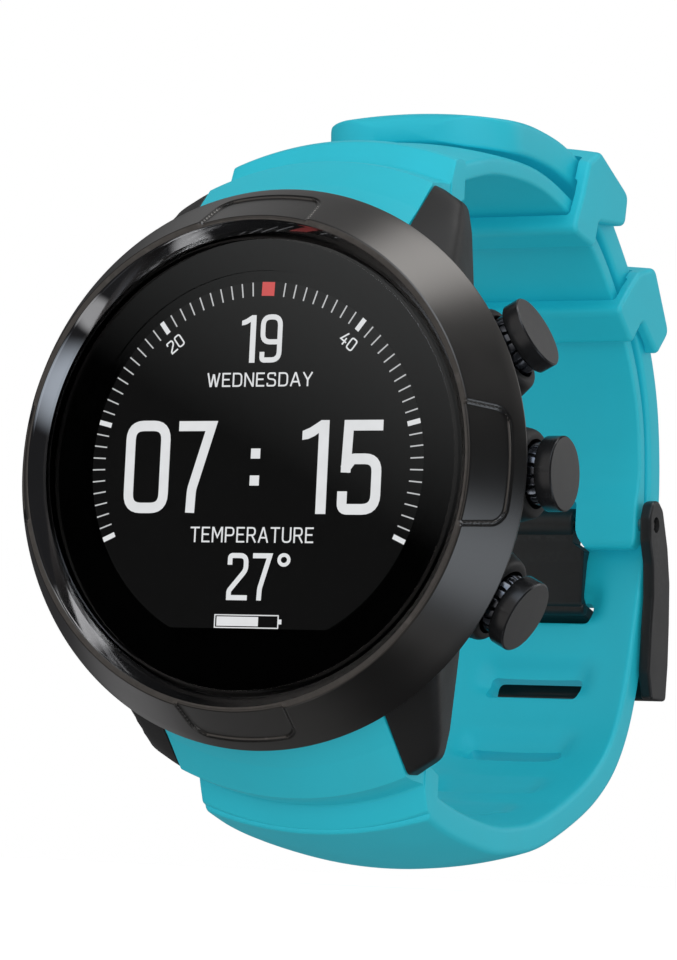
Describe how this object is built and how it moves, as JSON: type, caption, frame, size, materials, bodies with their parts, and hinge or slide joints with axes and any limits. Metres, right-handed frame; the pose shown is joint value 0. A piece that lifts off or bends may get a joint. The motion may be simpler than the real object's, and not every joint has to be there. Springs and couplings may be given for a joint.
{
  "type": "dive computer",
  "caption": "Wrist dive computer: round metal bezel with a digital dial, push buttons on one side, and a buckled rubber strap with keepers.",
  "frame": {"origin": "centre of the flat face of the case back, which lies on the wrist", "axes": "-Y is the way the display faces, +Z is towards 12 o'clock, +X is towards the buttons at 3 o'clock"},
  "size_m": [0.0546, 0.079, 0.076],
  "materials": {
    "bezel": "satin dark grey coating on steel",
    "case": "fine matte, glass-filled polyamide",
    "crystal": "polished mineral glass",
    "display": "black display with pale markings",
    "button": "dark coated steel, matte face",
    "steel": "fine brushed",
    "contact_gold": "gold plated",
    "strap": "smooth matte silicone rubber",
    "buckle": "satin black coating on steel",
    "seal": "smooth",
    "inner_plastic": "moulded",
    "board": "solder mask",
    "cell": "foil pouch"
  },
  "bodies": {
    "case": {"case_middle": "case", "bezel": "bezel", "crystal": "crystal", "crystal_gasket": "seal", "display_module": "display", "case_back": "steel", "case_back_gasket": "seal", "case_back_screw_1": "steel", "case_back_screw_2": "steel", "case_back_screw_3": "steel", "case_back_screw_4": "steel", "charging_contact_1": "contact_gold", "charging_contact_2": "contact_gold", "charging_contact_3": "contact_gold", "chassis": "inner_plastic", "main_board": "board", "battery": "cell", "vibration_motor": "steel", "buzzer": "inner_plastic", "pressure_sensor": "steel", "button_top_sleeve": "steel", "button_top_spring": "steel", "button_top_switch": "inner_plastic", "button_middle_sleeve": "steel", "button_middle_spring": "steel", "button_middle_switch": "inner_plastic", "button_bottom_sleeve": "steel", "button_bottom_spring": "steel", "button_bottom_switch": "inner_plastic", "strap_upper": "strap", "strap_tail": "strap", "spring_bar_upper": "steel", "spring_bar_lower": "steel", "bar_spring_upper": "steel", "bar_spring_lower": "steel", "buckle_bar": "steel"},
    "button_top": {"button_top": "button", "button_top_seal": "seal", "button_top_circlip": "steel"},
    "button_middle": {"button_middle": "button", "button_middle_seal": "seal", "button_middle_circlip": "steel"},
    "button_bottom": {"button_bottom": "button", "button_bottom_seal": "seal", "button_bottom_circlip": "steel"},
    "keeper_front": {"keeper_front": "strap"},
    "keeper_rear": {"keeper_rear": "strap"},
    "buckle_frame": {"buckle_frame": "buckle"},
    "buckle_tongue": {"buckle_tongue": "buckle"},
    "release_pin_upper": {"release_pin_upper": "steel"},
    "release_pin_lower": {"release_pin_lower": "steel"}
  },
  "joints": [
    {"name": "button_top_press", "type": "slide", "parent": "case", "child": "button_top", "axis": [-0.8829, 0, -0.4695], "range_m": [0, 0.001], "stiffness_N_per_m": 2500, "springref_m": -0.0008, "deforming": ["button_top_spring"]},
    {"name": "button_middle_press", "type": "slide", "parent": "case", "child": "button_middle", "axis": [-1, 0, 0], "range_m": [0, 0.001], "stiffness_N_per_m": 2500, "springref_m": -0.0008, "deforming": ["button_middle_spring"]},
    {"name": "button_bottom_press", "type": "slide", "parent": "case", "child": "button_bottom", "axis": [-0.8829, 0, 0.4695], "range_m": [0, 0.001], "stiffness_N_per_m": 2500, "springref_m": -0.0008, "deforming": ["button_bottom_spring"]},
    {"name": "keeper_front_slide", "type": "hinge", "parent": "case", "child": "keeper_front", "pos_m": [0, 0.02736, 0.00885], "axis": [1, 0, 0], "range_deg": [-3, 3]},
    {"name": "keeper_rear_slide", "type": "hinge", "parent": "case", "child": "keeper_rear", "pos_m": [0, 0.01976, -0.00525], "axis": [1, 0, 0], "range_deg": [-2, 2]},
    {"name": "buckle_frame_lift", "type": "hinge", "parent": "case", "child": "buckle_frame", "pos_m": [0, 0.0559, 0.0012], "axis": [1, 0, 0], "range_deg": [0, 3]},
    {"name": "buckle_tongue_lift", "type": "hinge", "parent": "buckle_frame", "child": "buckle_tongue", "pos_m": [0, 0.0559, 0.0012], "axis": [1, 0, 0], "range_deg": [0, 3]},
    {"name": "release_pin_upper_slide", "type": "slide", "parent": "case", "child": "release_pin_upper", "axis": [-1, 0, 0], "range_m": [0, 0.0015], "stiffness_N_per_m": 400, "springref_m": -0.0015, "deforming": ["bar_spring_upper"]},
    {"name": "release_pin_lower_slide", "type": "slide", "parent": "case", "child": "release_pin_lower", "axis": [-1, 0, 0], "range_m": [0, 0.0015], "stiffness_N_per_m": 400, "springref_m": -0.0015, "deforming": ["bar_spring_lower"]}
  ]
}
